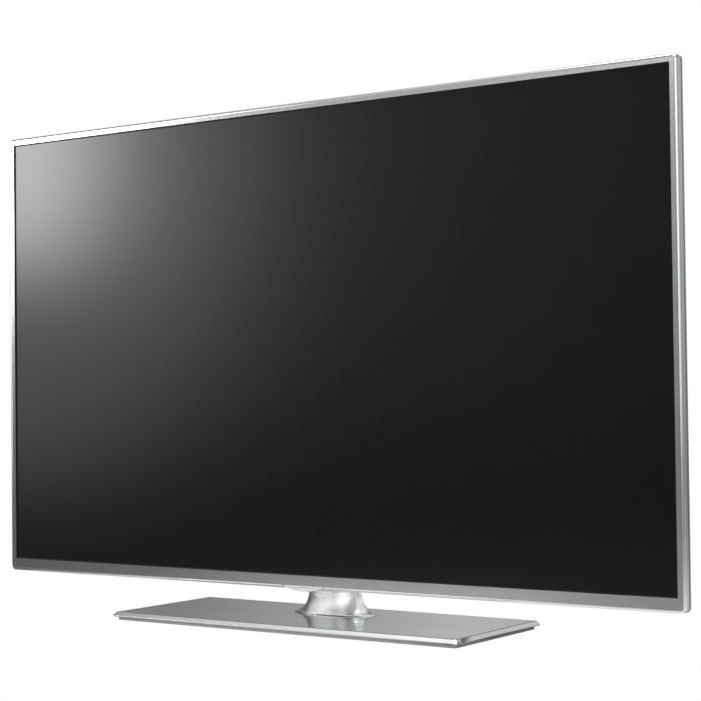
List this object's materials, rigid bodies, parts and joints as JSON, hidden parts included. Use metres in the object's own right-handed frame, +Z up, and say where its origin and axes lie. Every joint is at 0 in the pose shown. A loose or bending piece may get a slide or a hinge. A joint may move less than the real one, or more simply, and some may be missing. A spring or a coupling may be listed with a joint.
{
  "type": "flat screen tv",
  "caption": "Slim flat screen television with a satin silver frame and glossy dark screen, on a flared chrome neck and a flat glossy silver base that lets it swivel.",
  "frame": {"origin": "middle of the base's rectangle, on the surface that the feet stand on", "axes": "+X to the viewer's right along the screen, +Y towards the back, +Z up; the screen faces -Y"},
  "size_m": [0.962, 0.188, 0.6188],
  "materials": {
    "bezel_silver": "satin silver",
    "base_silver": "glossy silver",
    "neck_chrome": "bright chrome",
    "screen_dark": "semi-gloss film",
    "cell_glass": "dark glass",
    "lens_clear": "clear moulded",
    "back_plastic": "fine grained",
    "black_steel": "powder coat",
    "zinc_steel": "zinc plated",
    "black_screw": "black oxide",
    "foot_rubber": "matt",
    "bush_plastic": "low friction plastic",
    "gasket_foam": "foam strip",
    "guide_plastic": "moulded",
    "white_film": "translucent film",
    "acrylic": "clear sheet",
    "lamp_board": "white board",
    "spreader_aluminium": "extruded",
    "amber_film": "flexible film",
    "board_green": "lacquered board",
    "wound_copper": "wound bobbins",
    "can_black": "sleeved cans",
    "socket_black": "moulded",
    "socket_metal": "nickel plated",
    "wire_black": "insulated",
    "magnet_steel": "plated",
    "cone_black": "coated paper",
    "stick_black": "moulded"
  },
  "bodies": {
    "base": {"base_plate": "base_silver", "base_underplate": "black_steel", "base_feet": "foot_rubber", "base_screws": "zinc_steel", "swivel_bush": "bush_plastic", "stop_pin": "zinc_steel"},
    "set": {"swivel_spindle": "zinc_steel", "swivel_retainer": "zinc_steel", "neck_shell": "neck_chrome", "spine": "black_steel", "spine_cover": "back_plastic", "spine_screws": "black_screw", "stand_posts": "zinc_steel", "front_bezel": "bezel_silver", "indicator_lens": "lens_clear", "bezel_gasket": "gasket_foam", "sensor_board": "board_green", "front_polariser": "screen_dark", "colour_filter_glass": "cell_glass", "tft_glass": "cell_glass", "rear_polariser": "screen_dark", "panel_guide": "guide_plastic", "prism_sheet": "white_film", "diffuser_sheets": "white_film", "light_guide": "acrylic", "reflector_sheet": "white_film", "led_bar": "lamp_board", "heat_spreader": "spreader_aluminium", "back_chassis": "zinc_steel", "panel_flexes": "amber_film", "source_boards": "board_green", "side_frame": "bezel_silver", "rear_cover": "back_plastic", "cover_screws": "black_screw", "wall_mount_posts": "zinc_steel", "board_standoffs": "zinc_steel", "board_screws": "zinc_steel", "heat_sink": "spreader_aluminium", "main_board": "board_green", "power_board": "board_green", "transformers": "wound_copper", "capacitors": "can_black", "timing_board": "board_green", "aerial_socket": "socket_metal", "lan_socket": "socket_metal", "hdmi_sockets": "socket_metal", "audio_sockets": "socket_black", "usb_sockets": "socket_metal", "card_slot": "socket_black", "jack_panel": "zinc_steel", "ac_inlet": "socket_black", "inner_cables": "wire_black", "speaker_boxes": "back_plastic", "speaker_drivers": "magnet_steel", "stick_bracket": "back_plastic"},
    "cone_left": {"speaker_cone_left": "cone_black"},
    "cone_right": {"speaker_cone_right": "cone_black"},
    "stick_gimbal": {"stick_gimbal": "stick_black"},
    "stick_rocker": {"stick_rocker": "stick_black"},
    "stick_knob": {"stick_knob": "stick_black"}
  },
  "joints": [
    {"name": "swivel", "type": "hinge", "parent": "base", "child": "set", "pos_m": [0, 0.032, 0.0108], "axis": [0, 0, 1], "range_deg": [-20, 20]},
    {"name": "stick_tilt_back", "type": "hinge", "parent": "set", "child": "stick_gimbal", "pos_m": [0, -0.0125, 0.0558], "axis": [1, 0, 0], "range_deg": [-7, 7], "stiffness_Nm_per_rad": 0.05},
    {"name": "stick_tilt_side", "type": "hinge", "parent": "stick_gimbal", "child": "stick_rocker", "pos_m": [0, -0.0125, 0.0558], "axis": [0, 1, 0], "range_deg": [-7, 7], "stiffness_Nm_per_rad": 0.05},
    {"name": "stick_press", "type": "slide", "parent": "stick_rocker", "child": "stick_knob", "axis": [0, 0, 1], "range_m": [0, 0.0006], "stiffness_N_per_m": 800, "springref_m": -0.0004},
    {"name": "cone_left_stroke", "type": "slide", "parent": "set", "child": "cone_left", "axis": [0, 0, 1], "range_m": [-0.001, 0.001], "stiffness_N_per_m": 900},
    {"name": "cone_right_stroke", "type": "slide", "parent": "set", "child": "cone_right", "axis": [0, 0, 1], "range_m": [-0.001, 0.001], "stiffness_N_per_m": 900}
  ]
}
